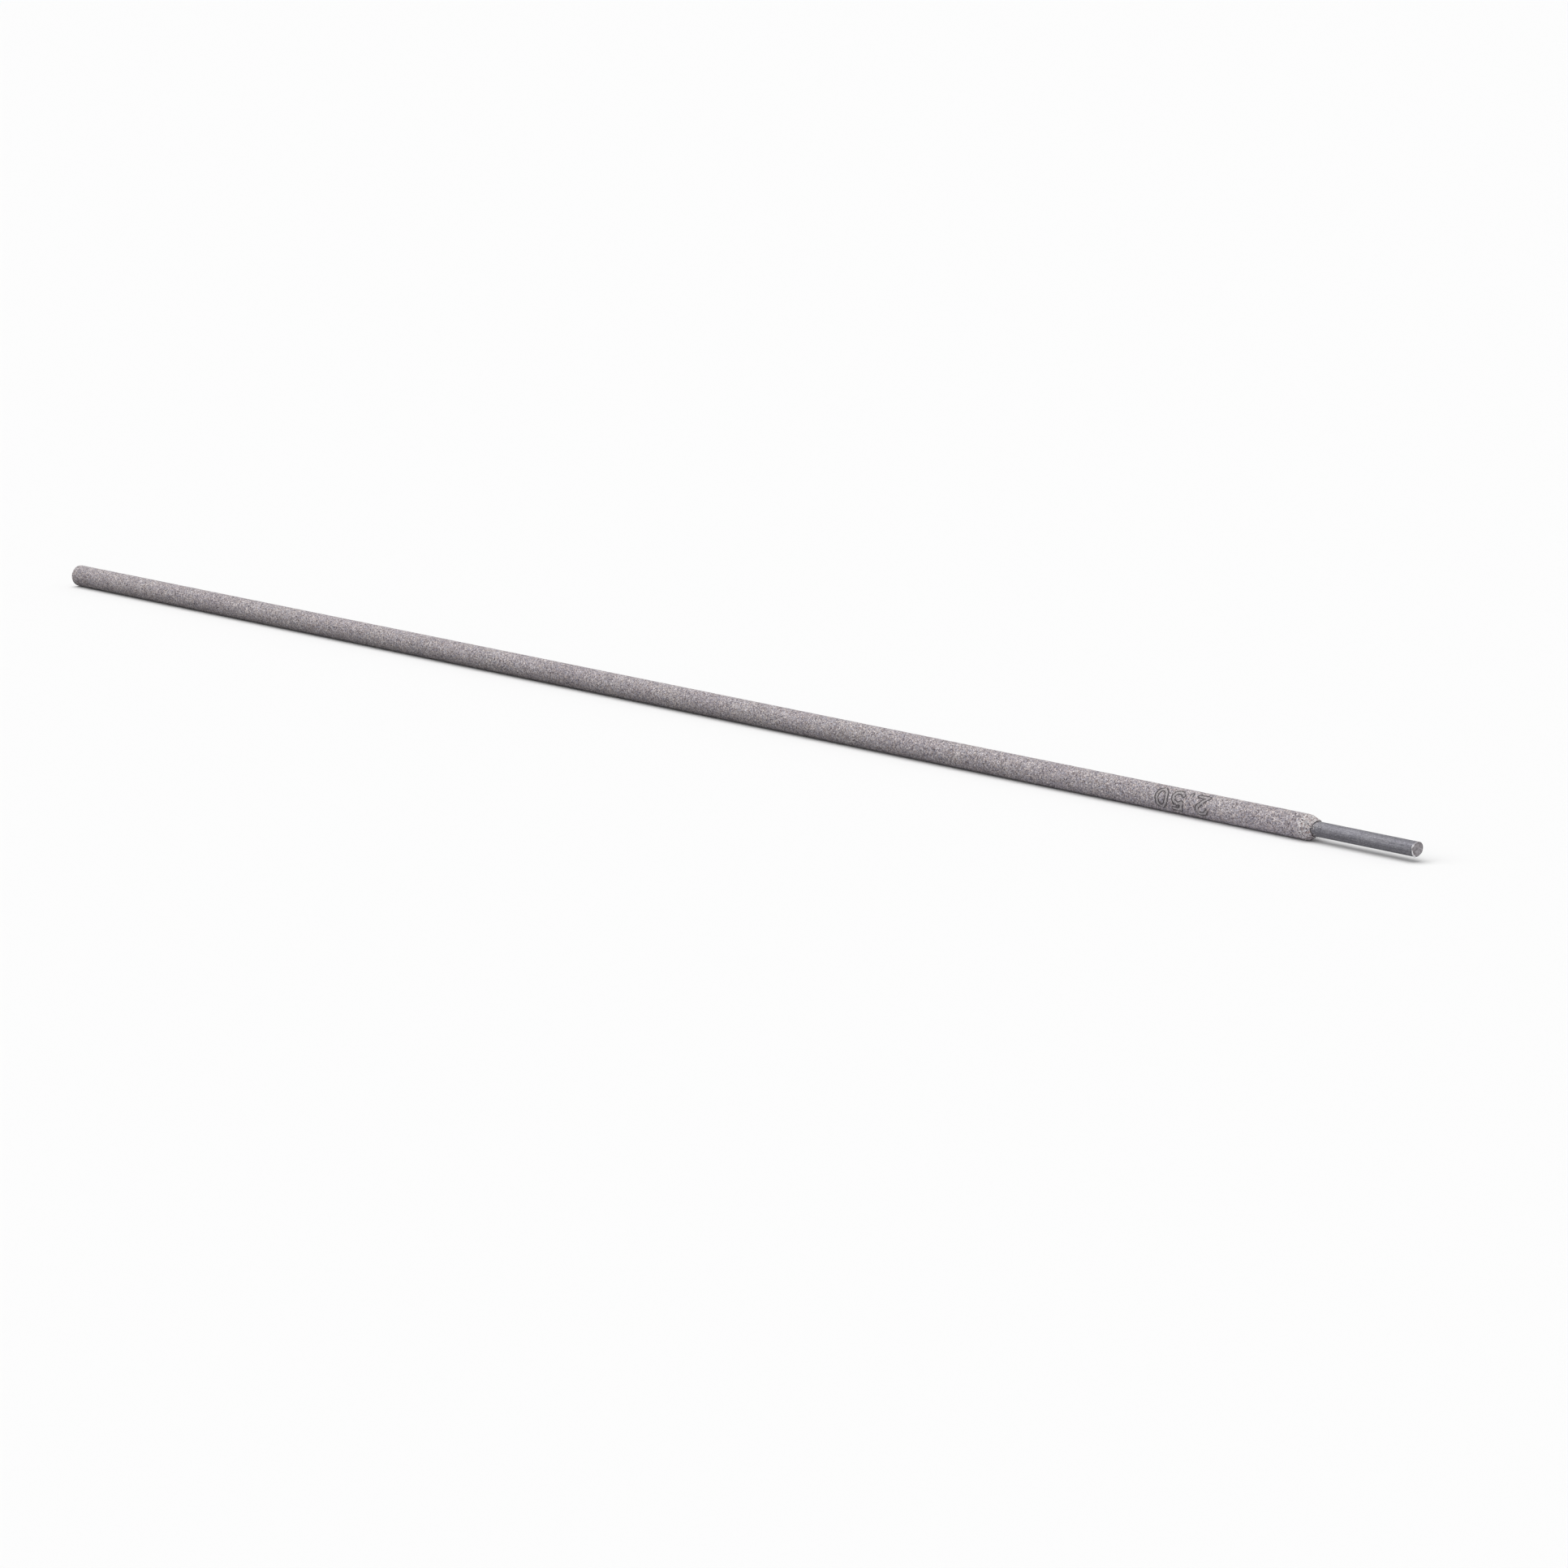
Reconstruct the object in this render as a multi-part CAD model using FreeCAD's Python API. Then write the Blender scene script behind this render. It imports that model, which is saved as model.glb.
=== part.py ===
import FreeCAD, Part
import math
import os

# Driving dimensions in mm.
TOTAL_LENGTH = 350.0
CORE_DIAMETER = 2.5
COATING_DIAMETER = 4.25
# Bare wire at the grip end, from its tip to the mean break line of the covering.
BARE_LENGTH = 20.6
# The covering is brushed down to a cone behind the break line. The cone leans:
# it is longest on the side at LEAN_ANGLE and shortest opposite.
BRUSHED_LENGTH = 1.6
BRUSHED_LEAN = 0.5
LEAN_ANGLE = 74.0
# Thickness of the covering left standing at the break line.
BREAK_STEP = 0.19
# The break line reaches furthest ahead on the same side, bends back beside it
# and ripples all round.
BREAK_SKEW = 0.22
BREAK_BEND = 0.11
BREAK_RIPPLE = 0.04
# Rounded shoulder of the covering at the striking end.
STRIKE_SHOULDER = 0.35
# Sheared tip of the wire: slope across the face, step where the cut turns
# into fracture, and the edge rolled over by the blade.
SHEAR_DROP = 0.25
SHEAR_ANGLE = 50.0
FRACTURE_STEP = 0.10
EDGE_ROLL = 0.16

CORE_R = CORE_DIAMETER / 2
COATING_R = COATING_DIAMETER / 2
COATING_WALL = COATING_R - CORE_R
X_TIP = BARE_LENGTH / 2
X_BREAK = X_TIP - BARE_LENGTH
X_STRIKE = X_TIP - TOTAL_LENGTH
# The break line swings this far either way of its mean.
BREAK_SWING = BREAK_SKEW + BREAK_BEND + 2 * BREAK_RIPPLE
# Everything ahead of this line is bare all round.
X_CLEAR = X_BREAK + BREAK_SWING
# Everything behind this line is covered to full thickness all round.
X_FULL = X_BREAK - BRUSHED_LENGTH - BRUSHED_LEAN - BREAK_SWING
AXIS_POINT = FreeCAD.Vector(0, 0, 0)
AXIS = FreeCAD.Vector(1, 0, 0)


def at(x, radius, angle=0.0):
    return FreeCAD.Vector(x, radius * math.cos(angle), radius * math.sin(angle))


def line(start, end):
    return Part.LineSegment(start, end).toShape()


def turned(edges):
    face = Part.Face(Part.Wire(edges))
    return face.revolve(AXIS_POINT, AXIS, 360)


def core_bar():
    """The wire as drawn, longer than the electrode at the grip end.

    Its wall has three stretches: under the covering, under the brushed
    cone, and the bare stretch that the holder's jaws clamp.
    """
    x_end = X_TIP + CORE_R
    corners = [at(X_STRIKE, 0), at(X_STRIKE, CORE_R), at(X_FULL, CORE_R)]
    corners += [at(X_CLEAR, CORE_R), at(x_end, CORE_R), at(x_end, 0)]
    under_cone = Part.BSplineCurve()
    middle = (corners[2] + corners[3]) / 2
    under_cone.buildFromPoles([corners[2], middle, corners[3]], False, 2)
    edges = [
        line(corners[0], corners[1]),
        line(corners[1], corners[2]),
        under_cone.toShape(),
        line(corners[3], corners[4]),
        line(corners[4], corners[5]),
        line(corners[5], corners[0]),
    ]
    return turned(edges)


def smooth_step(value):
    t = min(1.0, max(0.0, value))
    return t * t * (3 - 2 * t)


def shear_height(y, z):
    """Where the sheared face lies along the axis, above one point of the section."""
    angle = math.radians(SHEAR_ANGLE)
    across = (y * math.cos(angle) + z * math.sin(angle)) / CORE_R
    along = (z * math.cos(angle) - y * math.sin(angle)) / CORE_R
    fall = (1 - across) / 2
    edge = across - 0.12 * math.cos(2.4 * along + 0.5)
    step = 1 - smooth_step(0.5 + edge / 0.5)
    roll = smooth_step((-0.45 - across) / 0.75)
    return X_TIP - SHEAR_DROP * fall - FRACTURE_STEP * step - EDGE_ROLL * roll


def shear_tool():
    steps = 16
    reach = 1.3 * CORE_R
    rows = []
    for i in range(steps + 1):
        y = reach * (2 * i / steps - 1)
        row = []
        for j in range(steps + 1):
            z = reach * (2 * j / steps - 1)
            row.append(FreeCAD.Vector(shear_height(y, z), y, z))
        rows.append(row)
    surface = Part.BSplineSurface()
    surface.interpolate(rows)
    return surface.toShape().extrude(FreeCAD.Vector(2 * CORE_R + EDGE_ROLL, 0, 0))


def core_wire():
    return core_bar().cut(shear_tool())


def coating_blank():
    """The extruded covering before brushing, with its rounded striking shoulder."""
    x_end = X_CLEAR + BREAK_STEP
    bend = STRIKE_SHOULDER * (1 - math.sqrt(0.5))
    shoulder = Part.Arc(
        at(X_STRIKE, COATING_R - STRIKE_SHOULDER),
        at(X_STRIKE + bend, COATING_R - bend),
        at(X_STRIKE + STRIKE_SHOULDER, COATING_R),
    )
    edges = [
        line(at(X_STRIKE, 0), at(X_STRIKE, COATING_R - STRIKE_SHOULDER)),
        shoulder.toShape(),
        line(at(X_STRIKE + STRIKE_SHOULDER, COATING_R), at(x_end, COATING_R)),
        line(at(x_end, COATING_R), at(x_end, 0)),
        line(at(x_end, 0), at(X_STRIKE, 0)),
    ]
    return turned(edges)


def break_offset(angle):
    """How far the break line lies ahead of its mean at one angle round the wire."""
    lean = angle - math.radians(LEAN_ANGLE)
    skew = BREAK_SKEW * math.cos(lean) + BREAK_BEND * math.cos(2 * lean)
    ripple = math.sin(5 * angle + 1.1) + math.sin(7 * angle + 0.4)
    return skew + BREAK_RIPPLE * ripple


def cone_radius(behind):
    """Radius of the brushed form at a distance behind the break line."""
    if behind <= 0:
        least = 0.45 * CORE_R
        return least + (CORE_R - least) * math.exp(behind / (CORE_R - least))
    foot = BREAK_STEP * smooth_step(behind / BREAK_STEP)
    return CORE_R + foot + (COATING_WALL - BREAK_STEP) * behind / BRUSHED_LENGTH


def form_section(behind, share):
    """Ring of the brushed form, with a share of its lean and of its uneven break line."""
    count = 36
    points = []
    for i in range(count):
        angle = 2 * math.pi * i / count
        lean = math.cos(angle - math.radians(LEAN_ANGLE))
        back = behind * BRUSHED_LEAN / BRUSHED_LENGTH * lean
        x = X_BREAK - behind + share * (break_offset(angle) - back)
        points.append(at(x, cone_radius(behind), angle))
    curve = Part.BSplineCurve()
    turns = [i / count for i in range(count + 1)]
    curve.interpolate(Points=points, Parameters=turns, PeriodicFlag=True)
    return Part.Wire(curve.toShape())


def brushed_form():
    """Solid of the form that the brush leaves, run out past both ends of the cone."""
    ahead = 2.2 * BREAK_SWING + 2 * BREAK_STEP
    start = 1.8 * BRUSHED_LENGTH
    sections = [form_section(start, 0.0), form_section(1.4 * BRUSHED_LENGTH, 0.6)]
    for share in (1.12, 0.95, 0.78, 0.61, 0.44, 0.28):
        sections.append(form_section(share * BRUSHED_LENGTH, 1.0))
    for behind in (BREAK_STEP, 0.0, -BREAK_STEP, -2 * BREAK_STEP):
        sections.append(form_section(behind, 1.0))
    sections.append(form_section(-0.65 * ahead, 0.5))
    sections.append(form_section(-ahead, 0.0))
    return Part.makeLoft(sections, True, False), start, ahead


def brush_tool():
    """What the brush takes away: a ring round the form."""
    form, start, ahead = brushed_form()
    margin = 0.02 * BRUSHED_LENGTH
    x_from = X_BREAK - start + margin
    length = start + ahead - 2 * margin
    ring = Part.makeCylinder(1.5 * COATING_R, length, at(x_from, 0), AXIS)
    return ring.cut(form)


def flux_coating():
    return coating_blank().cut(brush_tool()).cut(core_bar())


def largest_solid(shape):
    return max(shape.Solids, key=lambda solid: solid.Volume)


NODES = {
    "core_wire": core_wire,
    "flux_coating": flux_coating,
}

os.makedirs("parts", exist_ok=True)
for name, build in NODES.items():
    largest_solid(build()).exportStep("parts/" + name + ".step")
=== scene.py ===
import math

import bpy
import numpy as np
from mathutils import Matrix, Vector

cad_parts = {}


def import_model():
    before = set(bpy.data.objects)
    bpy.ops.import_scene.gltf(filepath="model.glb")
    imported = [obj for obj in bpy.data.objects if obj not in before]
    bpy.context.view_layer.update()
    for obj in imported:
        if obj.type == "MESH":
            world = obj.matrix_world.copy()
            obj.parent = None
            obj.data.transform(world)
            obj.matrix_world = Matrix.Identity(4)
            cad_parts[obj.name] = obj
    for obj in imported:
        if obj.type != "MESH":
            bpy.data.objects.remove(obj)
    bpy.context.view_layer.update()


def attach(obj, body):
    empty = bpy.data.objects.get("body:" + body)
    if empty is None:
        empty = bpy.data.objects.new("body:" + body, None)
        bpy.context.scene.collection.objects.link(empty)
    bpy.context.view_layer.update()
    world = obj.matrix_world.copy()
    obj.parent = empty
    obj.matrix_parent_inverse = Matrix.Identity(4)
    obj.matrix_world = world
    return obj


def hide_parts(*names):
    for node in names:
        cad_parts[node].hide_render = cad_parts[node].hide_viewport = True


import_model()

MM = 0.001

# Sizes of the electrode in millimetres, along X from the middle of the bare end.
X_TIP = 10.3
X_BREAK = -10.3
X_STRIKE = -339.7
CORE_R = 1.25
COATING_R = 2.125
BRUSHED_LENGTH = 1.6
BRUSHED_LEAN = 0.5
LEAN_ANGLE = math.radians(74.0)
BREAK_STEP = 0.19
BREAK_SKEW = 0.22
BREAK_BEND = 0.11
BREAK_RIPPLE = 0.04
STRIKE_SHOULDER = 0.35
SHEAR_DROP = 0.25
SHEAR_ANGLE = math.radians(50.0)
FRACTURE_STEP = 0.10
EDGE_ROLL = 0.16
# Sides of the tip where the shear raised a long burr and a short one, and the dent between.
LONG_BURR = 220.0
SHORT_BURR = 150.0
DENT = 180.0
# The bore of the covering ends this far behind the break line, where nothing shows.
BORE_END = 1.6
# The skin turns into the brushed cone over this length behind the break line.
BLEND_LENGTH = 3.6
# The bare wire is finely meshed from X_BARE on, and bends with its rim from X_SHEARED on.
X_BARE = X_BREAK - 1.0
X_SHEARED = X_TIP - 0.72

# Points in a ring of the skin, of the brushed cone and of the wire, and the number of
# rings of the first two.
BODY_COUNT = 96
FINE_COUNT = 192
WIRE_COUNT = 128
SKIN_RINGS = 800
CONE_RINGS = 50

# Direction from the axis that faces the camera.
FACING = math.radians(163.8)
# The number: where it starts, how tall and how stretched it is, and where it faces.
MARK_START = -31.6
MARK_TALL = 3.0
MARK_STRETCH = 1.27
MARK_ANGLE = FACING + math.radians(1.0)
MARK_MARGIN = 0.5
MARK_STEP = 0.05
FILM = 0.008

# Slots of the second material of each piece.
CRUMBS = 1
SHEARED = 1


# Noise for the meshes

# Large whole numbers that scramble the place of a lattice point.
SCRAMBLE_X = 73856093
SCRAMBLE_Y = 19349663
SCRAMBLE_Z = 83492791
SCRAMBLE_SEED = 2654435761
STIR_FIRST = 1274126177
STIR_SECOND = 668265263


def lattice(cell, seed):
    """Random values from -1 to 1 at whole-numbered points."""
    n = cell[..., 0] * SCRAMBLE_X ^ cell[..., 1] * SCRAMBLE_Y
    n = n ^ cell[..., 2] * SCRAMBLE_Z ^ (seed * SCRAMBLE_SEED & 0x7FFFFFFF)
    n = (n ^ (n >> 13)) * STIR_FIRST & 0xFFFFFFFF
    n = (n ^ (n >> 16)) * STIR_SECOND & 0xFFFFFFFF
    n = n ^ (n >> 15)
    return n / 2147483648.0 - 1.0


def in_cells(points, size):
    """Cell of each point in a lattice of one size, and its place there."""
    place = np.asarray(points) / size + 1000.0
    return np.floor(place).astype(np.int64), place


def smooth_noise(points, size, seed):
    """Smooth noise from -1 to 1 whose lumps are about size across."""
    cell, place = in_cells(points, size)
    t = place - cell
    t = t * t * t * (t * (t * 6 - 15) + 10)
    total = np.zeros(place.shape[:-1])
    for step in np.ndindex(2, 2, 2):
        step = np.array(step)
        share = np.prod(np.where(step, t, 1 - t), axis=-1)
        total += share * lattice(cell + step, seed)
    return total


def grains(points, size, seed):
    """Rounded grains: tallest at the middle of each grain, falling to 0 at its edge."""
    cell, place = in_cells(points, size)
    nearest = np.full(place.shape[:-1], 9.0)
    tall = np.zeros(place.shape[:-1])
    for step in np.ndindex(3, 3, 3):
        beside_cell = cell + np.array(step) - 1
        shift = [lattice(beside_cell, seed + k) for k in range(3)]
        middle = beside_cell + 0.5 + 0.42 * np.stack(shift, axis=-1)
        far = np.linalg.norm(place - middle, axis=-1)
        nearer = far < nearest
        tall = np.where(nearer, 0.6 + 0.4 * lattice(beside_cell, seed + 7), tall)
        nearest = np.where(nearer, far, nearest)
    return tall * np.sqrt(np.clip(1 - nearest**2, 0, 1))


def smooth_step(value):
    t = np.clip(value, 0.0, 1.0)
    return t * t * (3 - 2 * t)


def around(x, radius, angle):
    """Points at a distance from the axis, as an array of x, y and z."""
    x, radius, angle = np.broadcast_arrays(x, radius, angle)
    return np.stack([x, radius * np.cos(angle), radius * np.sin(angle)], axis=-1)


# Meshes


class Surface:
    """A skin of rings round the axis, with its texture map."""

    def __init__(self):
        self.points = []
        self.faces = []
        self.maps = []
        self.slots = []
        self.count = 0

    def add_points(self, points):
        """Adds points and gives the number of the first."""
        first = self.count
        self.points.append(np.asarray(points, float))
        self.count += len(points)
        return first

    def add_ring(self, points):
        return self.add_points(points), len(points)

    def add_face(self, corners, places, slot=0):
        self.faces.append(tuple(corners))
        self.maps.extend(places)
        self.slots.append(slot)

    def edge(self, ring, map_ring, count, i):
        """Points of a ring beside face i of count, each with its place in the map."""
        first, total = ring
        step = total // count
        turns = range(i * step, (i + 1) * step + 1)
        return [(first + k % total, map_ring(k / total)) for k in turns]

    def band(self, low, high, map_low, map_high, slot=0):
        """Faces between two rings, one of which may have twice the points.

        A ring's map is a function from the share of a turn to a place in the map.
        """
        count = min(low[1], high[1])
        for i in range(count):
            upper = self.edge(high, map_high, count, i)
            corners, places = zip(*self.edge(low, map_low, count, i), *reversed(upper))
            self.add_face(corners, places, slot)

    def cap(self, ring, map_ring, point, map_point, forward, slot=0):
        """Closes a ring with a fan to one point."""
        middle = (self.add_points([point]), map_point)
        for i in range(ring[1]):
            rim = self.edge(ring, map_ring, ring[1], i)
            if not forward:
                rim.reverse()
            corners, places = zip(*rim, middle)
            self.add_face(corners, places, slot)

    def build(self, name, materials):
        mesh = bpy.data.meshes.new(name)
        points = np.concatenate(self.points) * MM
        mesh.from_pydata(points.tolist(), [], self.faces)
        layer = mesh.uv_layers.new(name="OFBake")
        layer.uv.foreach_set("vector", np.asarray(self.maps, np.float32).ravel())
        for material in materials:
            mesh.materials.append(material)
        mesh.polygons.foreach_set("material_index", self.slots)
        mesh.polygons.foreach_set("use_smooth", [True] * len(self.faces))
        mesh.update()
        piece = bpy.data.objects.new(name, mesh)
        bpy.context.scene.collection.objects.link(piece)
        return piece


def angles(count):
    return np.arange(count) * 2 * math.pi / count


# The texture maps of the pieces

MAP_EDGE = 0.005
# The skin of the covering lies in strips side by side, and the rest in rows above them.
STRIPS = 5
STRIP_WIDTH = 0.85 / STRIPS
STRIP_GAP = 0.004
STRIP_RUN = 0.985
FIRST_ROW = 0.856
ROW_HEIGHT = 0.0145
CONE_ROW = 3.6
CONE_ROWS = 4.6
EDGE_ROW = 8.25
CRUMB_ROW = 0.9968
# Middle and reach of the two round faces of the wire.
STRIKE_DISC = (0.86, 0.93, 0.06)
TIP_DISC = (0.70, 0.92, 0.075)
# The bare stretch of the wire starts here and takes this share of the map.
BARE_START = 0.02
BARE_GAP = 0.004
BARE_SHARE = 0.80


def level_map(height):
    """Map of one ring on a level line."""
    return lambda turn: (MAP_EDGE + 0.99 * turn, height)


def row_map(row):
    return level_map(FIRST_ROW + row * ROW_HEIGHT)


def strip_map(x):
    """Map of one ring of the skin, in its strip."""
    length = X_BREAK - BLEND_LENGTH - X_STRIKE
    share = min(max((x - X_STRIKE) / length, 0.0), 0.99999) * STRIPS
    strip = int(share)
    along = (share - strip) * STRIP_RUN + MAP_EDGE
    low = MAP_EDGE + strip * STRIP_WIDTH
    return lambda turn: (along, low + turn * (STRIP_WIDTH - STRIP_GAP))


def disc_map(disc, share):
    """Map of one ring of a round face, at a share of its reach."""
    u, v, reach = disc
    far = reach * share
    full = 2 * math.pi
    return lambda turn: (u + far * math.cos(full * turn), v + far * math.sin(full * turn))


def bare_height(x):
    """Height in the map of a ring of the bare wire."""
    return BARE_START + BARE_GAP + BARE_SHARE * (x - X_BARE) / (X_TIP - X_BARE)


# The covering


def break_offset(angle):
    """How far the break line lies ahead of its mean at one angle round the wire."""
    lean = angle - LEAN_ANGLE
    skew = BREAK_SKEW * np.cos(lean) + BREAK_BEND * np.cos(2 * lean)
    ripple = np.sin(5 * angle + 1.1) + np.sin(7 * angle + 0.4)
    return skew + BREAK_RIPPLE * ripple


def cone_radius(behind):
    """Radius of the brushed cone, rounded off where it meets the full thickness."""
    wall = COATING_R - CORE_R - BREAK_STEP
    cone = CORE_R + BREAK_STEP + wall * behind / BRUSHED_LENGTH
    soft = 0.03
    return -soft * np.logaddexp(-cone / soft, -COATING_R / soft)


def skin_depth(points):
    """How far the extruded skin lies under its full radius: soft lumps and pores."""
    depth = 0.020 + 0.007 * smooth_noise(points, 1.6, 3)
    depth = depth + 0.005 * smooth_noise(points, 0.8, 5)
    pores = np.clip(smooth_noise(points, 0.9, 9) - 0.55, 0, None)
    return np.clip(depth + 0.06 * pores, 0.009, None)


def skin_places():
    """Where the rings of the extruded skin lie, with one at each end of a map strip."""
    start = X_STRIKE + STRIKE_SHOULDER
    end = X_BREAK - BLEND_LENGTH
    edges = [X_STRIKE + (end - X_STRIKE) * s / STRIPS for s in range(1, STRIPS)]
    return np.array(sorted(np.linspace(start, end, SKIN_RINGS).tolist() + edges))


def skin_grid():
    """Radius of the skin at every point of its rings."""
    x, angle = np.meshgrid(skin_places(), angles(BODY_COUNT), indexing="ij")
    return COATING_R - skin_depth(around(x, COATING_R, angle))


def skin_radius(x, angle, grid):
    """Radius of the skin as its mesh runs between the rings."""
    places = skin_places()
    i = np.clip(np.searchsorted(places, x) - 1, 0, len(places) - 2)
    s = (x - places[i]) / (places[i + 1] - places[i])
    turn = (angle / (2 * math.pi) * BODY_COUNT) % BODY_COUNT
    j = np.floor(turn).astype(int) % BODY_COUNT
    k = (j + 1) % BODY_COUNT
    t = turn - np.floor(turn)
    low = grid[i, j] * (1 - t) + grid[i, k] * t
    high = grid[i + 1, j] * (1 - t) + grid[i + 1, k] * t
    return low * (1 - s) + high * s


def cone_ring(behind):
    """One ring of the brushed cone, with its torn grains, at a distance behind the break line."""
    angle = angles(FINE_COUNT)
    held = smooth_step((BLEND_LENGTH - behind) / (BLEND_LENGTH - 1.9))
    back = behind * BRUSHED_LEAN / BRUSHED_LENGTH * np.cos(angle - LEAN_ANGLE)
    x = X_BREAK - behind + held * (break_offset(angle) - back)
    points = around(x, cone_radius(behind), angle)
    torn = smooth_step((2.5 - behind - 0.4 * smooth_noise(points, 0.7, 43)) / 0.9)
    lumps = grains(points, 0.24, 21)
    fine = grains(points, 0.15, 31)
    wear = smooth_noise(points, 0.9, 41)
    pits = np.clip(smooth_noise(points, 0.3, 51) - 0.35, 0, None)
    rough = 0.085 - 0.068 * lumps - 0.036 * fine - 0.012 * wear + 0.12 * pits
    depth = skin_depth(points) * (1 - torn) + torn * np.clip(rough, 0.002, None)
    radius = np.clip(cone_radius(behind) - depth, CORE_R + 0.02, COATING_R - 0.002)
    near_break = smooth_step((0.7 - behind) / 0.7)
    ragged = smooth_noise(points, 0.5, 61) * 0.05 + (lumps - 0.5) * 0.07
    return around(x + near_break * ragged, radius, angle)


def striking_rings(surface):
    """Rings of the covering's striking face and of its shoulder, from the inside out."""
    angle = angles(BODY_COUNT)
    rings = []
    for radius in (1.45, 1.62, COATING_R - STRIKE_SHOULDER):
        dip = 0.012 + 0.010 * smooth_noise(around(X_STRIKE, radius, angle), 0.35, 71)
        rings.append(surface.add_ring(around(X_STRIKE + dip, radius, angle)))
    for k in range(1, 6):
        bend = math.radians(90 * k / 6)
        x = X_STRIKE + STRIKE_SHOULDER * (1 - math.cos(bend))
        radius = COATING_R - STRIKE_SHOULDER * (1 - math.sin(bend))
        dip = 0.010 + 0.008 * smooth_noise(around(x, radius, angle), 0.35, 71)
        rings.append(surface.add_ring(around(x + 0.3 * dip, radius - dip, angle)))
    return rings


def extruded_skin(surface, last, grid):
    """The covering at full thickness, from the shoulder to the brushed cone."""
    before = None
    for x, radius in zip(skin_places().tolist(), grid):
        ring = surface.add_ring(around(x, radius, angles(BODY_COUNT)))
        if before is None:
            surface.band(last, ring, row_map(3.1), row_map(3.4))
        else:
            # The nudge keeps a ring between two strips in the strip of each band.
            surface.band(last, ring, strip_map(before + 1e-6), strip_map(x - 1e-6))
        last = ring
        before = x
    return last


def brushed_cone(surface, last):
    distances = [3.4, 3.2, 3.0, 2.85]
    distances += np.linspace(2.72, 0.04, CONE_RINGS).tolist()
    rows = len(distances)
    for k, behind in enumerate(distances):
        ring = surface.add_ring(cone_ring(behind))
        low = row_map(CONE_ROW + CONE_ROWS * k / rows)
        high = row_map(CONE_ROW + CONE_ROWS * (k + 1) / rows)
        surface.band(last, ring, low, high)
        last = ring
    return last


def broken_edge(surface, last):
    """The face of the break, undercut down to the wire."""
    edge = np.asarray(surface.points[-1])
    for k, (drop, back) in enumerate(((0.4, -0.01), (0.75, 0.03), (1.0, 0.12))):
        radius = np.linalg.norm(edge[:, 1:], axis=1)
        radius = radius + (CORE_R - 0.004 - radius) * drop
        rough = 0.03 * smooth_noise(edge, 0.2, 81 + k)
        x = edge[:, 0] - back + rough
        ring = surface.add_ring(around(x, radius, angles(FINE_COUNT)))
        surface.band(last, ring, row_map(EDGE_ROW + 0.3 * k), row_map(EDGE_ROW + 0.3 + 0.3 * k))
        last = ring
    return last


def covering_mesh(surface, grid):
    body = angles(BODY_COUNT)
    bore_end = surface.add_ring(around(X_BREAK - BORE_END, CORE_R, body))
    last = surface.add_ring(around(X_STRIKE, CORE_R, body))
    rings = striking_rings(surface)
    surface.band(bore_end, last, row_map(0.1), row_map(0.5))
    for k, ring in enumerate(rings):
        surface.band(last, ring, row_map(0.6 + 0.3 * k), row_map(0.9 + 0.3 * k))
        last = ring
    last = extruded_skin(surface, last, grid)
    last = brushed_cone(surface, last)
    last = broken_edge(surface, last)
    surface.band(last, bore_end, row_map(9.2), row_map(9.6))


CRUMB_COUNT = 28
# Crumbs that stand out on the side with the number: angle, distance ahead and size.
SPECKS = (
    (math.radians(147), 0.95, 0.100),
    (math.radians(149), 1.60, 0.105),
    (math.radians(134), 1.30, 0.080),
)


def crumb_form():
    """Corners and sides of a ball with twenty faces."""
    tall = (1 + math.sqrt(5)) / 2
    corners = [(-1, tall, 0), (1, tall, 0), (-1, -tall, 0), (1, -tall, 0)]
    corners += [(0, -1, tall), (0, 1, tall), (0, -1, -tall), (0, 1, -tall)]
    corners += [(tall, 0, -1), (tall, 0, 1), (-tall, 0, -1), (-tall, 0, 1)]
    corners = np.asarray(corners, float)
    corners /= np.linalg.norm(corners[0])
    sides = [(0, 11, 5), (0, 5, 1), (0, 1, 7), (0, 7, 10), (0, 10, 11)]
    sides += [(1, 5, 9), (5, 11, 4), (11, 10, 2), (10, 7, 6), (7, 1, 8)]
    sides += [(3, 9, 4), (3, 4, 2), (3, 2, 6), (3, 6, 8), (3, 8, 9)]
    sides += [(4, 9, 5), (2, 4, 11), (6, 2, 10), (8, 6, 7), (9, 8, 1)]
    return corners, sides


def crumb_place(rng, k):
    """Angle, distance ahead of the break line and size of one crumb."""
    if k < len(SPECKS):
        return SPECKS[k]
    return rng.uniform(0, 2 * math.pi), 0.03 + rng.exponential(0.30), rng.uniform(0.025, 0.060)


def crumbs(surface, rng):
    """Grains of covering left stuck to the wire just ahead of the break line."""
    corners, sides = crumb_form()
    for k in range(CRUMB_COUNT):
        angle, ahead, size = crumb_place(rng, k)
        x = X_BREAK + float(break_offset(np.array(angle))) + ahead
        middle = around(x, CORE_R + 0.35 * size, angle)
        rough = 1 + 0.25 * rng.uniform(-1, 1, (len(corners), 1))
        stretch = rng.uniform(0.75, 1.3, 3)
        first = surface.add_points(middle + corners * rough * stretch * size)
        u = 0.01 + 0.98 * k / CRUMB_COUNT
        places = ((u, CRUMB_ROW), (u + 0.01, CRUMB_ROW), (u + 0.005, CRUMB_ROW + 0.0024))
        for side in sides:
            surface.add_face([first + corner for corner in side], places, CRUMBS)


# The wire


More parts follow.
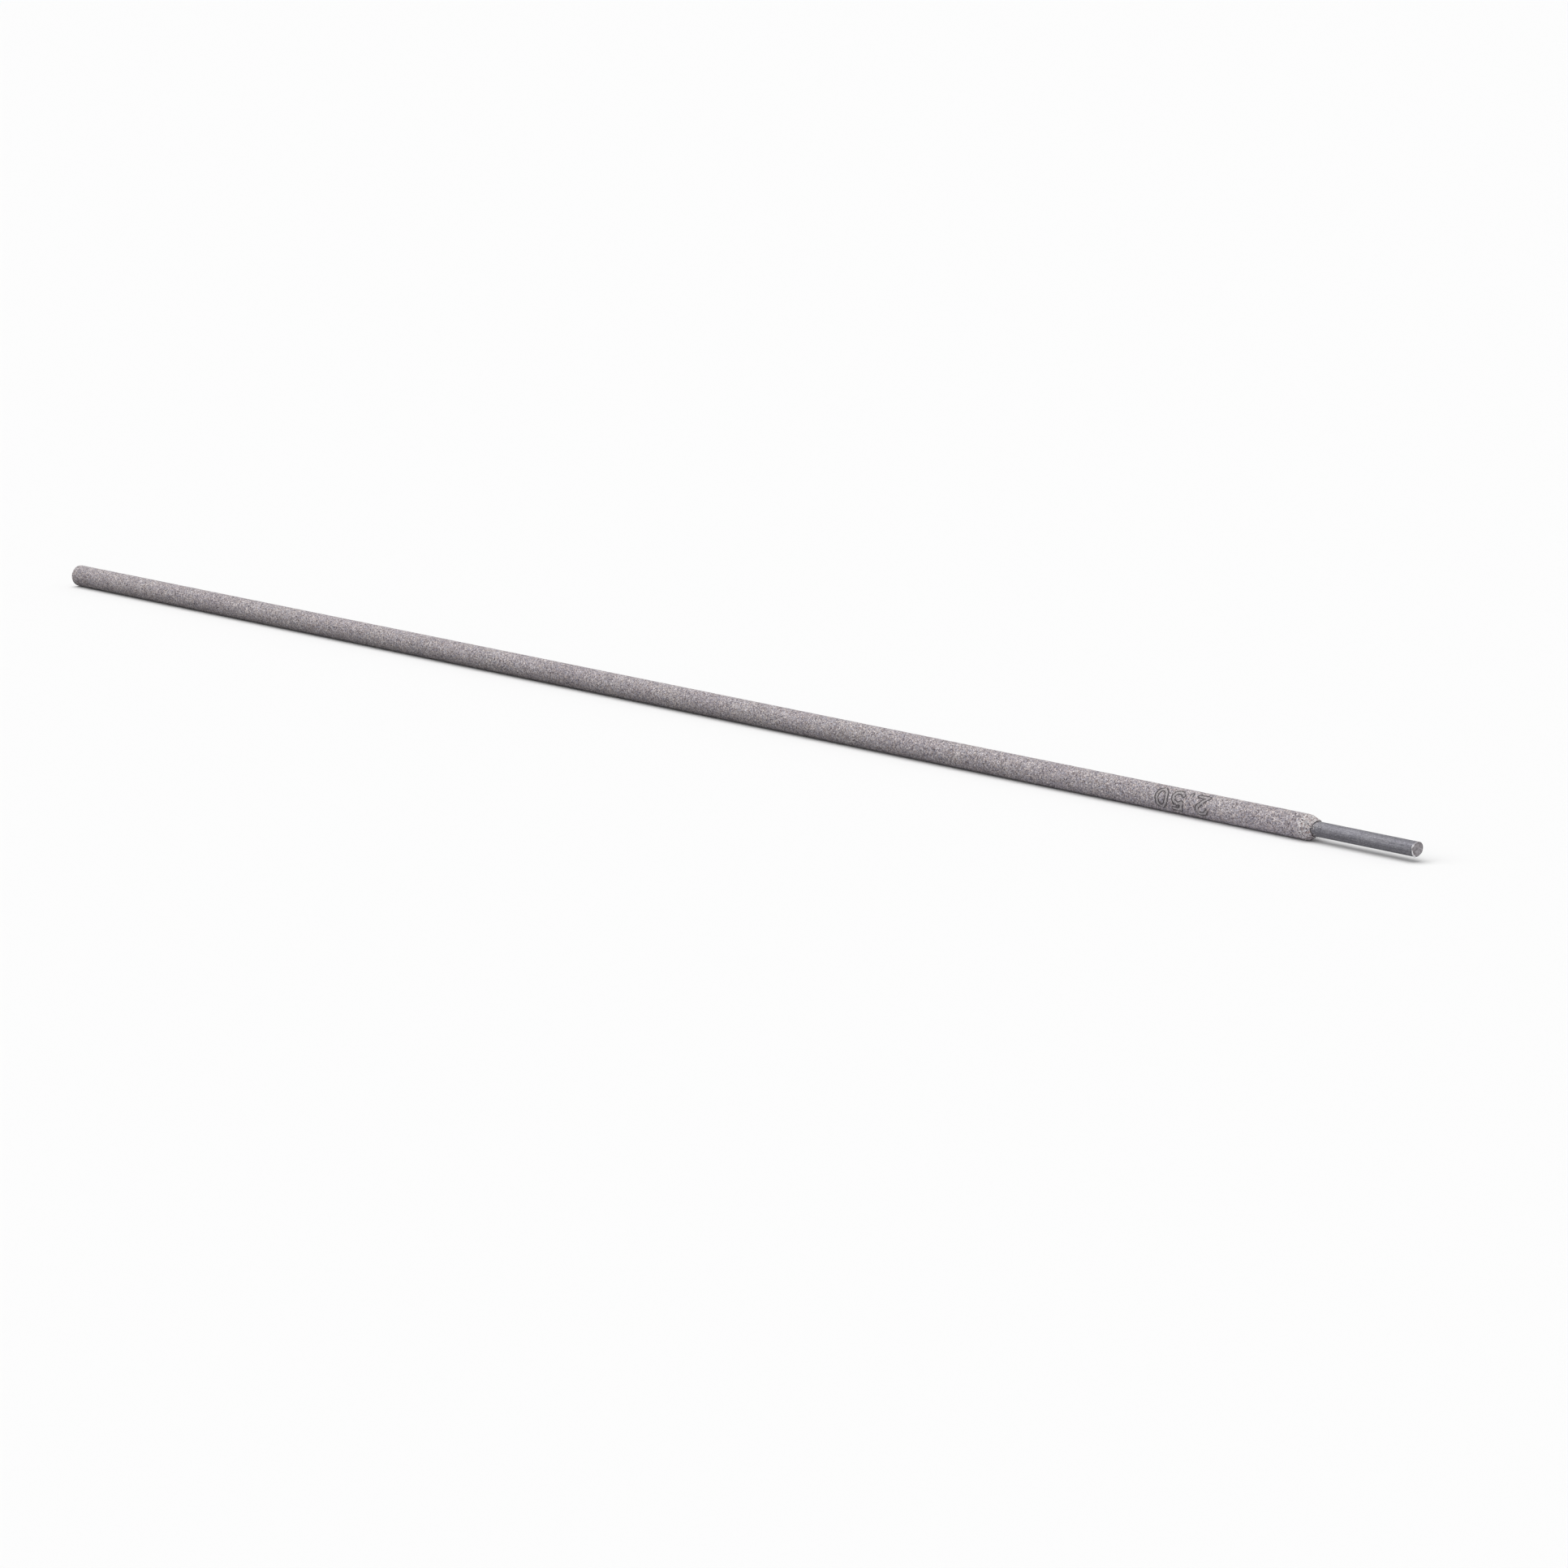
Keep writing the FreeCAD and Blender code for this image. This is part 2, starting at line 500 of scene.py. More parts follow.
def shear_height(y, z):
    """Where the sheared face lies along the axis."""
    across = (y * math.cos(SHEAR_ANGLE) + z * math.sin(SHEAR_ANGLE)) / CORE_R
    along = (z * math.cos(SHEAR_ANGLE) - y * math.sin(SHEAR_ANGLE)) / CORE_R
    fall = (1 - across) / 2
    edge = across - 0.12 * np.cos(2.4 * along + 0.5)
    step = 1 - smooth_step(0.5 + edge / 0.5)
    roll = smooth_step((-0.45 - across) / 0.75)
    return X_TIP - SHEAR_DROP * fall - FRACTURE_STEP * step - EDGE_ROLL * roll


def wire_radius(x, angle):
    """The drawn wall of the wire, with the faint lines that the die leaves."""
    x, angle = np.broadcast_arrays(x, angle)
    fine = around(x * 0.02, CORE_R, angle)
    lines = 0.55 * smooth_noise(fine, 0.16, 91) + 0.45 * smooth_noise(fine, 0.07, 92)
    lumps = smooth_noise(around(x, CORE_R, angle), 0.5, 93)
    return CORE_R - 0.006 + 0.0035 * lines + 0.0015 * lumps


def beside(angle, middle, reach, fade):
    """1 near one angle round the wire, falling to 0 at its reach; the last three in degrees."""
    turn = (angle - math.radians(middle) + math.pi) % (2 * math.pi) - math.pi
    return smooth_step((math.radians(reach) - np.abs(turn)) / math.radians(fade))


def burrs(angle):
    """How much of a burr stands round the rim, and how far the rim is pushed along the wire."""
    uneven = 1 + 0.45 * smooth_noise(around(0.0, CORE_R, angle), 0.35, 121)
    long_burr = uneven * beside(angle, LONG_BURR, 50, 24)
    short_burr = uneven * beside(angle, SHORT_BURR, 22, 16)
    pushed = 0.19 * long_burr - 0.20 * short_burr - 0.06 * beside(angle, DENT, 20, 18)
    return long_burr + short_burr, pushed


def bump_at(value, middle, width):
    """A smooth hump round one value."""
    return np.exp(-(((value - middle) / width) ** 2))


def wire_striking_end(surface):
    """The wire's striking face, flush with the covering."""
    angle = angles(WIRE_COUNT)
    rings = []
    for radius in (0.4, 0.8, 1.1, 1.2, CORE_R - 0.012):
        dip = 0.018 + 0.012 * smooth_noise(around(X_STRIKE, radius, angle), 0.4, 101)
        if radius > 1.2:
            dip = dip + 0.02
        rings.append(surface.add_ring(around(X_STRIKE + dip, radius, angle)))
    discs = [disc_map(STRIKE_DISC, share) for share in (0.35, 0.65, 0.87, 0.95, 1.0)]
    surface.cap(rings[0], discs[0], (X_STRIKE + 0.02, 0.0, 0.0), STRIKE_DISC[:2], False, SHEARED)
    for k in range(len(rings) - 1):
        surface.band(rings[k], rings[k + 1], discs[k], discs[k + 1], SHEARED)
    return rings[-1]


def hidden_stretch(surface, last):
    """The wire inside the covering."""
    for k, x in enumerate((X_STRIKE + 0.3, X_STRIKE + 110, X_STRIKE + 220, X_BREAK - 2.0)):
        ring = surface.add_ring(around(x, CORE_R - 0.004, angles(WIRE_COUNT)))
        surface.band(last, ring, level_map(0.001 + 0.004 * k), level_map(0.004 + 0.004 * k))
        last = ring
    return last


def bare_stretch(surface, last):
    """The bare wire up to the stretch that the shear bent."""
    angle = angles(WIRE_COUNT)
    places = np.linspace(X_BARE, X_TIP - 1.6, 60).tolist()
    places += np.linspace(X_TIP - 1.5, X_SHEARED, 14).tolist()
    before = BARE_START
    for x in places:
        ring = surface.add_ring(around(x, wire_radius(x, angle), angle))
        surface.band(last, ring, level_map(before), level_map(bare_height(x)))
        last = ring
        before = bare_height(x)
    return last, before


def bent_stretch(surface, last, before):
    """The last stretch, which follows the sheared rim, with the dent behind its burrs."""
    angle = angles(WIRE_COUNT)
    burr, pushed = burrs(angle)
    rim_y = (CORE_R - 0.02) * np.cos(angle)
    rim_z = (CORE_R - 0.02) * np.sin(angle)
    rim_x = shear_height(rim_y, rim_z) + pushed
    steps = 16
    for k in range(1, steps + 1):
        x = X_SHEARED + (rim_x - 0.06 - X_SHEARED) * (k / steps)
        left = rim_x - x
        groove = bump_at(left, 0.42, 0.15)
        flare = bump_at(left, 0.06, 0.13)
        dent = bump_at(left, 0.30, 0.14) * beside(angle, DENT, 22, 18)
        radius = wire_radius(x, angle) + burr * (0.07 * flare - 0.05 * groove) - 0.11 * dent
        ring = surface.add_ring(around(x, radius, angle))
        here = bare_height(float(np.mean(x)))
        slot = SHEARED if k > steps - 3 else 0
        surface.band(last, ring, level_map(before), level_map(here), slot)
        last = ring
        before = here
    return last, before


def face_rings(outer):
    """Rings over the rim and across the sheared face: share of the radius, radius and x."""
    angle = angles(WIRE_COUNT)
    burr, pushed = burrs(angle)
    rings = []
    for share, rise in ((0.985, 0.0), (0.95, 0.035), (0.90, 0.045), (0.84, 0.015)):
        radius = outer * share
        base = shear_height(radius * np.cos(angle), radius * np.sin(angle))
        x = base - 0.075 + rise + burr * 0.05 + pushed * (share - 0.55) / 0.45
        rings.append((share, radius, x))
    for share in (0.78, 0.72, 0.66, 0.60, 0.53, 0.46, 0.39, 0.32, 0.25, 0.18, 0.11):
        radius = outer * share
        base = shear_height(radius * np.cos(angle), radius * np.sin(angle))
        hollow = 0.09 * smooth_step((0.9 - share) / 0.3)
        x = base - 0.04 - hollow + pushed * max(share - 0.55, 0.0) / 0.45
        rings.append((share, radius, x))
    return rings


def sheared_face(surface, last, before):
    angle = angles(WIRE_COUNT)
    outer = np.linalg.norm(np.asarray(surface.points[-1])[:, 1:], axis=1)
    last_map = None
    for share, radius, x in face_rings(outer):
        spots = around(x, radius, angle)
        torn = 0.5 + 0.5 * smooth_step((0.2 + spots[:, 1] / CORE_R) / 0.5)
        rough = 0.014 * smooth_noise(spots, 0.22, 111) + 0.02 * smooth_noise(spots, 0.5, 112)
        ring = surface.add_ring(around(np.minimum(x + rough * torn, X_TIP), radius, angle))
        here = disc_map(TIP_DISC, share)
        if last_map is None:
            surface.band(last, ring, level_map(before + 0.001), level_map(before + 0.006))
        else:
            surface.band(last, ring, last_map, here, SHEARED)
        last = ring
        last_map = here
    middle = (float(shear_height(np.array(0.0), np.array(0.0))) - 0.13, 0.0, 0.0)
    surface.cap(last, last_map, middle, TIP_DISC[:2], True, SHEARED)


def wire_mesh(surface):
    last = wire_striking_end(surface)
    last = hidden_stretch(surface, last)
    last, before = bare_stretch(surface, last)
    last, before = bent_stretch(surface, last, before)
    sheared_face(surface, last, before)


# The printed number


def stroke_distance(points, strokes):
    """Distance from each point to the nearest of the strokes."""
    best = np.full(points.shape[:-1], 9.0)
    for line in strokes:
        for start, end in zip(line, line[1:]):
            start = np.array(start)
            run = np.array(end) - start
            t = np.clip(((points - start) @ run) / float(run @ run), 0, 1)
            gap = np.linalg.norm(points - (start + t[..., None] * run), axis=-1)
            best = np.minimum(best, gap)
    return best


def arc(cx, cy, rx, ry, start, end, steps=14):
    turn = np.radians(np.linspace(start, end, steps))
    return [(cx + rx * math.cos(t), cy + ry * math.sin(t)) for t in turn]


def figures():
    """Strokes of the plain number 2.50, three units tall, and its width."""
    two = arc(1.0, 2.2, 0.8, 0.8, 165, -35) + [(0.25, 0.0), (1.85, 0.0)]
    five = [(1.7, 3.0), (0.45, 3.0), (0.3, 1.75)]
    five += arc(0.95, 1.0, 0.85, 1.0, 125, -150)
    nought = arc(1.0, 1.5, 0.8, 1.5, 0, 360, 30)
    spot = [(0.35, 0.02), (0.36, 0.02)]
    placed = []
    start = 0.0
    for stroke, wide in ((two, 2.75), (spot, 1.35), (five, 2.75), (nought, 2.0)):
        placed.append([((px + start) * MARK_STRETCH, py) for px, py in stroke])
        start += wide
    return placed, start * MARK_STRETCH


def printed(low, high, seed):
    """A grid over the number, and how far inside the ink each point lies.

    The ink lies between two distances from the strokes, and is uneven and worn.
    """
    strokes, wide = figures()
    across = np.arange(-MARK_MARGIN, wide + MARK_MARGIN, MARK_STEP)
    up = np.arange(-MARK_MARGIN, MARK_TALL + MARK_MARGIN, MARK_STEP)
    u, v = np.meshgrid(across, up, indexing="ij")
    gap = stroke_distance(np.stack([u, v], axis=-1), strokes)
    spots = np.stack([u, v, np.zeros_like(u)], axis=-1)
    uneven = 0.04 * smooth_noise(spots, 0.45, seed) + 0.05 * smooth_noise(spots, 0.14, seed + 1)
    missing = np.clip(smooth_noise(spots, 0.30, seed + 2) - 0.42, 0, None) * 0.8
    return u, v, np.minimum(gap - low, high - gap) + uneven - missing, wide


def filled(field, x, turn):
    """Points and faces that fill a grid wherever its field is above zero."""
    points = []
    index = {}

    def corner(p, q, share):
        if (p, q) not in index:
            index[p, q] = len(points)
            px = x[p] * (1 - share) + x[q] * share
            pt = turn[p] * (1 - share) + turn[q] * share
            points.append((px, pt))
        return index[p, q]

    def clipped(triangle):
        ring = []
        for k, p in enumerate(triangle):
            q = triangle[(k + 1) % 3]
            if field[p] > 0:
                ring.append(corner(p, p, 0.0))
            if (field[p] > 0) != (field[q] > 0):
                a, b = min(p, q), max(p, q)
                ring.append(corner(a, b, field[a] / (field[a] - field[b])))
        return tuple(r for k, r in enumerate(ring) if r != ring[k - 1])

    inside = field > 0
    touched = inside[:-1, :-1] | inside[1:, :-1] | inside[:-1, 1:] | inside[1:, 1:]
    faces = []
    for i, j in np.argwhere(touched).tolist():
        square = [(i, j), (i + 1, j), (i + 1, j + 1), (i, j + 1)]
        for triangle in (square[:3], [square[0], square[2], square[3]]):
            ring = clipped(triangle)
            if len(ring) >= 3:
                faces.append(ring)
    return points, faces


def mark_mesh(surface, grid, low, high, lift, seed):
    """Ink between two distances from the strokes, as a film on the covering."""
    u, v, field, wide = printed(low, high, seed)
    # The number reads from the grip end towards the striking end, with its foot uppermost.
    points, faces = filled(field, MARK_START - u, MARK_ANGLE + (v - MARK_TALL / 2) / COATING_R)
    x, angle = np.asarray(points).T
    first = surface.add_points(around(x, skin_radius(x, angle, grid) + lift, angle))
    for face in faces:
        places = []
        for px, pt in (points[k] for k in face):
            run = (MARK_START + MARK_MARGIN - px) / (wide + 2 * MARK_MARGIN)
            rise = 0.5 + (pt - MARK_ANGLE) * COATING_R / (MARK_TALL + 2 * MARK_MARGIN)
            places.append((0.01 + 0.98 * run, 0.01 + 0.33 * rise))
        surface.add_face([first + k for k in face], places)


# Materials


def shade(level):
    """Linear value of a screen level from 0 to 255."""
    c = level / 255.0
    return c / 12.92 if c <= 0.04045 else ((c + 0.055) / 1.055) ** 2.4


def colour(levels):
    return (*[shade(level) for level in levels], 1.0)


class Nodes:
    """A small helper for material nodes; sizes are in millimetres."""

    def __init__(self, name):
        self.material = bpy.data.materials.new(name)
        self.material.use_nodes = True
        self.tree = self.material.node_tree
        self.tree.nodes.clear()
        self.shader = self.tree.nodes.new("ShaderNodeBsdfPrincipled")
        out = self.tree.nodes.new("ShaderNodeOutputMaterial")
        self.link(self.shader.outputs["BSDF"], out.inputs["Surface"])
        self.place = self.tree.nodes.new("ShaderNodeTexCoord").outputs["Object"]

    def link(self, source, target):
        self.tree.links.new(source, target)

    def shows(self, name, value):
        """Links a value to one of the shader's inputs."""
        self.link(value, self.shader.inputs[name])

    def put(self, target, value):
        if isinstance(value, bpy.types.NodeSocket):
            self.link(value, target)
        else:
            target.default_value = value

    def math(self, operation, first, second=0.0):
        node = self.tree.nodes.new("ShaderNodeMath")
        node.operation = operation
        self.put(node.inputs[0], first)
        self.put(node.inputs[1], second)
        return node.outputs[0]

    def add(self, first, second):
        return self.math("ADD", first, second)

    def minus(self, first, second):
        return self.math("SUBTRACT", first, second)

    def times(self, first, second):
        return self.math("MULTIPLY", first, second)

    def scaled(self, vector, scale):
        node = self.tree.nodes.new("ShaderNodeVectorMath")
        node.operation = "MULTIPLY"
        self.put(node.inputs[0], vector)
        node.inputs[1].default_value = scale
        return node.outputs[0]

    def split(self, vector):
        node = self.tree.nodes.new("ShaderNodeSeparateXYZ")
        self.link(vector, node.inputs[0])
        return node.outputs

    def noise_node(self, vector, size):
        node = self.tree.nodes.new("ShaderNodeTexNoise")
        self.link(vector, node.inputs["Vector"])
        node.inputs["Scale"].default_value = 1 / (size * MM)
        return node

    def noise(self, vector, size, detail=2.0, rough=0.5):
        node = self.noise_node(vector, size)
        node.inputs["Detail"].default_value = detail
        node.inputs["Roughness"].default_value = rough
        return node.outputs["Fac"]

    def warped(self, vector, size, reach):
        """The place shifted by soft noise, so that what lies on it gets ragged outlines."""
        shift = self.tree.nodes.new("ShaderNodeVectorMath")
        shift.operation = "MULTIPLY_ADD"
        self.link(self.noise_node(vector, size).outputs["Color"], shift.inputs[0])
        shift.inputs[1].default_value = (reach * MM,) * 3
        self.link(vector, shift.inputs[2])
        return shift.outputs[0]

    def cells(self, vector, size):
        """Distance from the middle of each cell, and three random values of each cell."""
        node = self.tree.nodes.new("ShaderNodeTexVoronoi")
        self.link(vector, node.inputs["Vector"])
        node.inputs["Scale"].default_value = 1 / (size * MM)
        split = self.tree.nodes.new("ShaderNodeSeparateColor")
        self.link(node.outputs["Color"], split.inputs[0])
        return node.outputs["Distance"], split.outputs

    def ramp(self, factor, stops, interpolation="LINEAR"):
        node = self.tree.nodes.new("ShaderNodeValToRGB")
        node.color_ramp.interpolation = interpolation
        while len(node.color_ramp.elements) < len(stops):
            node.color_ramp.elements.new(0.5)
        for element, (position, levels) in zip(node.color_ramp.elements, stops):
            element.position = position
            element.color = colour(levels)
        self.put(node.inputs["Fac"], factor)
        return node.outputs["Color"]

    def span(self, value, low, high, to_low=0.0, to_high=1.0, smooth=False):
        node = self.tree.nodes.new("ShaderNodeMapRange")
        if smooth:
            node.interpolation_type = "SMOOTHSTEP"
        self.put(node.inputs["Value"], value)
        node.inputs["From Min"].default_value = low
        node.inputs["From Max"].default_value = high
        node.inputs["To Min"].default_value = to_low
        node.inputs["To Max"].default_value = to_high
        return node.outputs["Result"]

    def mix(self, factor, first, second, blend="MIX"):
        node = self.tree.nodes.new("ShaderNodeMix")
        node.data_type = "RGBA"
        node.blend_type = blend
        self.put(node.inputs[0], factor)
        self.put(node.inputs[6], first)
        self.put(node.inputs[7], second)
        return node.outputs[2]

    def tint(self, first, second):
        return self.mix(1.0, first, second, "MULTIPLY")

    def bump(self, height, strength, distance):
        node = self.tree.nodes.new("ShaderNodeBump")
        node.inputs["Strength"].default_value = strength
        node.inputs["Distance"].default_value = distance * MM
        self.link(height, node.inputs["Height"])
        self.shows("Normal", node.outputs["Normal"])


# Share of the grains up to each tone, on the skin and on the brushed cone.
FLUX_TONES = (
    (0.00, (62, 57, 62)),
    (0.10, (114, 108, 115)),
    (0.23, (143, 130, 129)),
    (0.37, (161, 158, 167)),
    (0.52, (182, 173, 170)),
    (0.66, (190, 188, 197)),
    (0.80, (220, 208, 201)),
    (0.91, (250, 244, 243)),
)
TORN_TONES = (
    (0.00, (62, 55, 60)),
    (0.12, (129, 120, 124)),
    (0.26, (190, 175, 172)),
    (0.38, (224, 220, 219)),
    (0.54, (165, 161, 169)),
    (0.68, (240, 238, 237)),
    (0.84, (155, 131, 124)),
    (0.93, (208, 203, 203)),
)


def grain_tones(n, share, first, second, tones):
    """Two sets of grains of many tones, one showing faintly through the other."""
    few = n.ramp(second, tones, "CONSTANT")
    return n.mix(share, n.ramp(first, tones, "CONSTANT"), few)


def painted_seam_shade(n, x, y, z):
    """Painted shade in the seam along the wire, darker close to the wire and fainter at the
    striking end.
    """
    across = n.math("SQRT", n.add(n.times(y, y), n.times(z, z)))
    seam = n.span(across, (CORE_R + 0.03) * MM, (CORE_R + 0.17) * MM, 0.16, 1.0, smooth=True)
    tight = n.span(x, (X_STRIKE + 1) * MM, (X_STRIKE + 2) * MM, 0.6, 0.0)
    return n.math("MAXIMUM", seam, tight)


def flux_material():
    n = Nodes("flux_covering")
    x, y, z = n.split(n.place)
    ragged = n.warped(n.place, 0.06, 0.12)
    small, small_pick = n.cells(ragged, 0.14)
    large_pick = n.cells(ragged, 0.22)[1]
    coarse, coarse_pick = n.cells(ragged, 0.19)
    # The extruded skin: sandy grains in faint clouds.
    skin = grain_tones(n, 0.42, small_pick[0], large_pick[1], FLUX_TONES)
    clouds = n.noise(n.place, 0.9, 3.0, 0.6)
    skin = n.tint(skin, n.ramp(clouds, ((0.3, (232, 232, 235)), (0.7, (255, 255, 254)))))
    drift = n.noise(n.place, 12.0, 2.0, 0.5)
    skin = n.tint(skin, n.ramp(drift, ((0.3, (246, 244, 246)), (0.7, (255, 255, 254)))))
    # The brushed cone: torn grains with open pores.
    torn = grain_tones(n, 0.35, coarse_pick[0], small_pick[1], TORN_TONES)
    wander = n.times(n.minus(n.noise(n.place, 0.6, 2.0), 0.5), 2.2 * MM)
    along = n.add(x, wander)
    brushed = n.span(along, (X_BREAK - 2.9) * MM, (X_BREAK - 1.9) * MM, smooth=True)
    tone = n.mix(brushed, skin, torn)
    # Each grain gets painted light on its middle and painted shade where it meets the next, so
    # that it looks rounded, and it is finely speckled.
    tone = n.tint(tone, n.span(small, 0.25, 0.8, 1.15, 0.91))
    tone = n.tint(tone, n.span(n.noise(n.place, 0.045, 2.0, 0.6), 0.3, 0.7, 0.80, 1.14))
    # Painted shade in the seam where the covering meets the wire.
    tone = n.tint(tone, painted_seam_shade(n, x, y, z))
    n.shows("Base Color", tone)
    n.shows("Roughness", n.span(small_pick[2], 0.0, 1.0, 0.72, 0.95))
    n.shader.inputs["Specular IOR Level"].default_value = 0.3
    fine = n.noise(n.place, 0.11, 3.0, 0.6)
    height = n.minus(n.times(fine, 0.9), n.times(small, 0.6))
    pores = n.span(coarse_pick[0], 0.10, 0.14, -1.6, 0.0)
    pits = n.minus(pores, n.times(coarse, 1.4))
    n.bump(n.add(height, n.times(brushed, pits)), 0.75, 0.04)
    return n.material


def crumb_material():
    n = Nodes("flux_crumbs")
    specks = n.noise(n.place, 0.08, 3.0, 0.6)
    n.shows("Base Color", n.ramp(specks, ((0.4, (176, 168, 166)), (0.6, (250, 246, 244)))))
    n.shader.inputs["Roughness"].default_value = 0.85
    n.bump(specks, 0.5, 0.02)
    return n.material


def wire_material():
    n = Nodes("drawn_wire")
    stretched = n.scaled(n.place, (0.02, 1.0, 1.0))
    lines = n.noise(stretched, 0.13, 3.0, 0.6)
    broad = n.noise(stretched, 0.6, 2.0, 0.5)
    specks = n.noise(n.place, 0.22, 3.0, 0.6)
    patches = n.noise(n.place, 1.6, 2.0, 0.5)
    mottle = n.noise(n.scaled(n.place, (0.55, 1.0, 1.0)), 0.17, 2.0, 0.7)
    level = n.add(n.times(lines, 0.35), n.times(mottle, 0.45))
    level = n.add(level, n.times(broad, 0.2))
    steel = ((0.38, (88, 87, 91)), (0.5, (116, 115, 120)), (0.62, (143, 142, 147)))
    tone = n.ramp(level, steel)
    tone = n.tint(tone, n.ramp(patches, ((0.35, (236, 236, 239)), (0.65, (255, 255, 255)))))
    # Flux dust smeared on the wire just ahead of the break line.
    x = n.split(n.place)[0]
    near = n.span(x, (X_BREAK + 0.1) * MM, (X_BREAK + 1.3) * MM, 0.10, -0.05)
    dust = n.add(n.noise(n.place, 0.24, 4.0, 0.65), near)
    dust = n.span(dust, 0.60, 0.70, smooth=True)
    powder = n.ramp(specks, ((0.4, (170, 162, 162)), (0.6, (214, 208, 206))))
    n.shows("Base Color", n.mix(dust, tone, powder))
    n.shows("Metallic", n.times(n.minus(1.0, dust), 0.9))
    n.shows("Roughness", n.span(specks, 0.3, 0.7, 0.50, 0.64))
    n.bump(n.add(n.times(lines, 0.7), n.times(mottle, 0.9)), 0.6, 0.016)
    return n.material


def toward(n, y, z, degrees):
    """How far each point lies out on one side, as a share of the wire's radius."""
    angle = math.radians(degrees)
    out = n.times(y, math.cos(angle) / (CORE_R * MM))
    return n.add(out, n.times(z, math.sin(angle) / (CORE_R * MM)))


def shear_material():
    n = Nodes("sheared_steel")
    grain = n.noise(n.place, 0.10, 4.0, 0.75)
    patches = n.noise(n.place, 0.6, 2.0, 0.5)
    # Marks of the blade, drawn out across the face.
    drawn = n.tree.nodes.new("ShaderNodeMapping")
    n.link(n.place, drawn.inputs["Vector"])
    drawn.inputs["Rotation"].default_value = (-SHEAR_ANGLE, 0.0, 0.0)
    drawn.inputs["Scale"].default_value = (0.3, 0.12, 1.0)
    blade = n.noise(drawn.outputs[0], 0.09, 3.0, 0.65)
    level = n.add(n.times(grain, 0.3), n.times(patches, 0.3))
    level = n.add(level, n.times(blade, 0.4))
    torn = n.ramp(level, ((0.40, (104, 99, 101)), (0.5, (144, 139, 142)), (0.60, (184, 181, 185))))
    # The burrs are burnished where the blade passed, and their pale tone is also a painted
    # highlight along the rim.
    y, z = n.split(n.place)[1:]
    uneven = n.times(n.minus(n.noise(n.place, 0.42, 3.0, 0.6), 0.5), 0.6)
    long_burr = n.add(toward(n, y, z, LONG_BURR), uneven)
    short_burr = n.add(toward(n, y, z, SHORT_BURR), uneven)
    long_burr = n.span(long_burr, 0.68, 0.88, smooth=True)
    short_burr = n.span(short_burr, 0.86, 1.00, smooth=True)
    burnish_and_highlight = n.math("MAXIMUM", long_burr, short_burr)
    burnish_highlight_tone = n.ramp(grain, ((0.4, (196, 194, 196)), (0.6, (246, 245, 247))))
    n.shows("Base Color", n.mix(burnish_and_highlight, torn, burnish_highlight_tone))
    n.shader.inputs["Metallic"].default_value = 0.8
    rough = n.span(grain, 0.3, 0.7, 0.42, 0.66)
    n.shows("Roughness", n.minus(rough, n.times(burnish_and_highlight, 0.16)))
    n.bump(n.add(grain, blade), 0.7, 0.03)
    return n.material


def ink_material(name, dark, pale):
    n = Nodes(name)
    specks = n.noise(n.place, 0.13, 3.0, 0.7)
    n.shows("Base Color", n.ramp(specks, ((0.40, dark), (0.60, pale))))
    n.shows("Roughness", n.span(specks, 0.3, 0.7, 0.6, 0.85))
    n.bump(specks, 0.4, 0.01)
    return n.material


# Pieces


def add_covering(grid):
    covering = Surface()
    covering_mesh(covering, grid)
    crumbs(covering, np.random.default_rng(7))
    covering_piece = covering.build("flux_covering", [flux_material(), crumb_material()])
    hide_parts("flux_coating")
    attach(covering_piece, "root")


def add_wire():
    wire = Surface()
    wire_mesh(wire)
    wire_piece = wire.build("drawn_wire", [wire_material(), shear_material()])
    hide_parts("core_wire")
    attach(wire_piece, "root")


def add_mark(grid):
    ink = ink_material("mark_ink", (34, 31, 33), (104, 98, 100))
    wash = ink_material("mark_wash", (104, 99, 101), (192, 186, 187))
    outline = Surface()
    mark_mesh(outline, grid, 0.19, 0.46, 0.006, 131)
    filling = Surface()
    mark_mesh(filling, grid, -0.5, 0.20, 0.004, 141)
    outline_piece = outline.build("size_mark_outline", [ink])
    filling_piece = filling.build("size_mark_filling", [wash])
    for piece in (outline_piece, filling_piece):
        shell = piece.modifiers.new("film", "SOLIDIFY")
        shell.thickness = FILM * MM
        shell.offset = 1.0
        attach(piece, "root")


# Floor, light and camera

FLOOR_REACH = 12.0
FLOOR_COLOUR = (241, 241, 241)
WHITE = 0.98
# The floor's colour for the light that it throws back on the object, by its place along the object
# from BOUNCE_FROM to BOUNCE_TO: painted light, paler towards the grip end so that this end of the
# object is lit more.
BOUNCE_FROM = -200
BOUNCE_TO = -20
BOUNCE_TONES = (
    (0.00, (132, 132, 132)),
    (0.34, (139, 139, 140)),
    (0.64, (155, 155, 157)),
    (1.00, (203, 203, 209)),
)
# The camera's focal length and frame in pixels, its angles in degrees and its place.
FOCAL_PIXELS = 6170.9
FRAME_PIXELS = 1932
SENSOR = 36.0
CAMERA_TURN = math.radians(45.814)
CAMERA_TILT = math.radians(12.2225)
CAMERA_PLACE = (488.594, -603.310, 175.890)


def seen_directly(tree):
    """1 for rays to the camera and for what metal or glass shows, 0 for the light of the scene."""
    path = tree.nodes.new("ShaderNodeLightPath")
    seen = path.outputs["Is Camera Ray"]
    for kind in ("Is Glossy Ray", "Is Transmission Ray"):
        node = tree.nodes.new("ShaderNodeMath")
        node.operation = "MAXIMUM"
        tree.links.new(seen, node.inputs[0])
        tree.links.new(path.outputs[kind], node.inputs[1])
        seen = node.outputs[0]
    return seen


